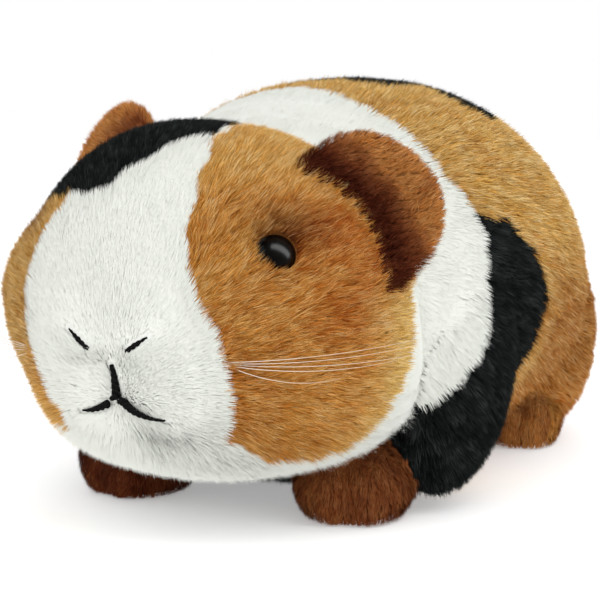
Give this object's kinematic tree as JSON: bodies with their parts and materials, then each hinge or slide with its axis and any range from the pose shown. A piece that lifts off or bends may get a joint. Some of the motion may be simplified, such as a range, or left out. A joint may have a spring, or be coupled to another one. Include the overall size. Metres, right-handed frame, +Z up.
{
  "type": "plush guinea pig",
  "caption": "Stuffed short-pile plush guinea pig crouching on its belly and paws, with rounded ears, bead eyes and a stitched nose and mouth.",
  "frame": {"origin": "on the floor under the middle of the toy's bounding box", "axes": "+Z up, +Y towards the rump, so the nose points along -Y and the toy's own left side is +X"},
  "size_m": [0.1352, 0.2352, 0.1168],
  "materials": {
    "tricolour_plush": "soft short-pile plush, tan, white and black in patches",
    "black_plush": "soft short-pile plush, black",
    "brown_plush": "very short dark brown plush",
    "eye_plastic": "high gloss black",
    "black_thread": "embroidery thread, black",
    "whisker_filament": "clear white nylon filament"
  },
  "bodies": {
    "root": {"head": "tricolour_plush", "trunk": "tricolour_plush", "thigh_left": "tricolour_plush", "thigh_right": "tricolour_plush", "foreleg_left": "black_plush", "foreleg_right": "black_plush", "forepaw_left": "brown_plush", "forepaw_right": "brown_plush", "hindpaw_left": "brown_plush", "hindpaw_right": "brown_plush", "ear_left": "brown_plush", "ear_right": "brown_plush", "eye_left": "eye_plastic", "eye_right": "eye_plastic", "philtrum_stitch": "black_thread", "mouth_stitch_left": "black_thread", "mouth_stitch_right": "black_thread", "nostril_stitch_left": "black_thread", "nostril_stitch_right": "black_thread"}
  },
  "joints": []
}
